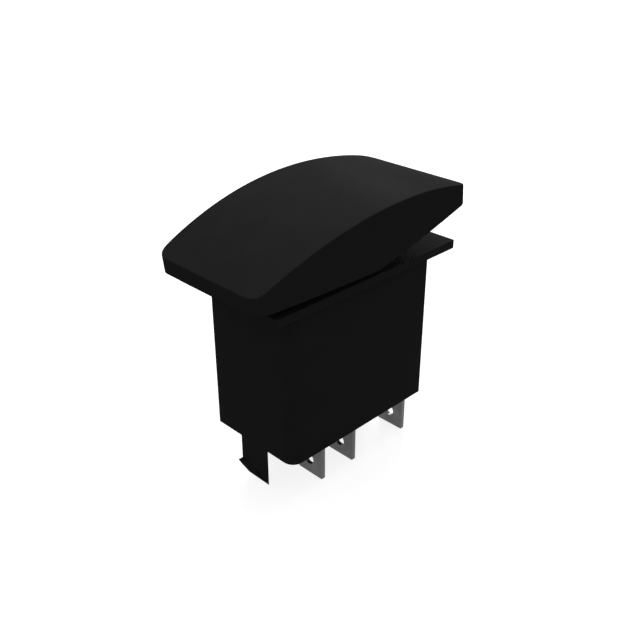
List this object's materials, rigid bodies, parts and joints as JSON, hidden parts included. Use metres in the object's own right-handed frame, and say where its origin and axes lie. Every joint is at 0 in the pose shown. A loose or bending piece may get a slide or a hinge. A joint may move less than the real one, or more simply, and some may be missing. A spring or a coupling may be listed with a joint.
{
  "type": "rocker switch",
  "caption": "Panel-mounted double-pole rocker switch with an arched rocker that rests in either of two tilted positions and push-on blade terminals below.",
  "frame": {"origin": "centre of the panel cut-out in the plane of the flange's underside, which rests on the front face of the panel", "axes": "+Z out of the panel towards the rocker, X along the switch's length with +X towards the raised end of the rocker, Y across the switch; the rocker's pivot axis is parallel to Y"},
  "size_m": [0.0532, 0.0276, 0.0543],
  "materials": {
    "rocker_plastic": "fine even matte, black",
    "housing_plastic": "fine even matte, black",
    "arm_plastic": "smooth moulded, black",
    "pin_steel": "drawn",
    "gasket_rubber": "soft",
    "terminal_metal": "tin plated, satin",
    "contact_metal": "silver alloy, satin",
    "lever_metal": "copper alloy, satin",
    "plunger_plastic": "smooth nylon",
    "spring_steel": "drawn wire"
  },
  "bodies": {
    "housing": {"base_housing": "housing_plastic", "mounting_bracket": "housing_plastic", "housing_gasket": "gasket_rubber", "pivot_pin": "pin_steel", "terminal_left_front": "terminal_metal", "terminal_common_front": "terminal_metal", "terminal_right_front": "terminal_metal", "terminal_left_back": "terminal_metal", "terminal_common_back": "terminal_metal", "terminal_right_back": "terminal_metal", "fixed_contact_left_front": "contact_metal", "fixed_contact_right_front": "contact_metal", "fixed_contact_left_back": "contact_metal", "fixed_contact_right_back": "contact_metal"},
    "rocker": {"rocker_cap": "rocker_plastic", "rocker_arm": "arm_plastic", "plunger_spring_front": "spring_steel", "plunger_spring_back": "spring_steel"},
    "plunger_front": {"plunger_front": "plunger_plastic"},
    "plunger_back": {"plunger_back": "plunger_plastic"},
    "lever_front": {"contact_lever_front": "lever_metal", "moving_contact_left_front": "contact_metal", "moving_contact_right_front": "contact_metal"},
    "lever_back": {"contact_lever_back": "lever_metal", "moving_contact_left_back": "contact_metal", "moving_contact_right_back": "contact_metal"}
  },
  "joints": [
    {"name": "rocker_tilt", "type": "hinge", "parent": "housing", "child": "rocker", "pos_m": [0, 0, 0.005], "axis": [0, 1, 0], "range_deg": [0, 11.8]},
    {"name": "lever_front_tilt", "type": "hinge", "parent": "housing", "child": "lever_front", "pos_m": [0, -0.0057, -0.02045], "axis": [0, 1, 0], "range_deg": [-15, 0]},
    {"name": "lever_back_tilt", "type": "hinge", "parent": "housing", "child": "lever_back", "pos_m": [0, 0.0057, -0.02045], "axis": [0, 1, 0], "range_deg": [-15, 0]},
    {"name": "plunger_front_slide", "type": "slide", "parent": "rocker", "child": "plunger_front", "axis": [-0.1028, 0, 0.9947], "range_m": [0, 0.0015], "stiffness_N_per_m": 400, "springref_m": -0.003, "deforming": ["plunger_spring_front"]},
    {"name": "plunger_back_slide", "type": "slide", "parent": "rocker", "child": "plunger_back", "axis": [-0.1028, 0, 0.9947], "range_m": [0, 0.0015], "stiffness_N_per_m": 400, "springref_m": -0.003, "deforming": ["plunger_spring_back"]}
  ],
  "couplings": [
    {"joint": "lever_front_tilt", "follows": "rocker_tilt", "ratio": -1.2712},
    {"joint": "lever_back_tilt", "follows": "rocker_tilt", "ratio": -1.2712}
  ]
}
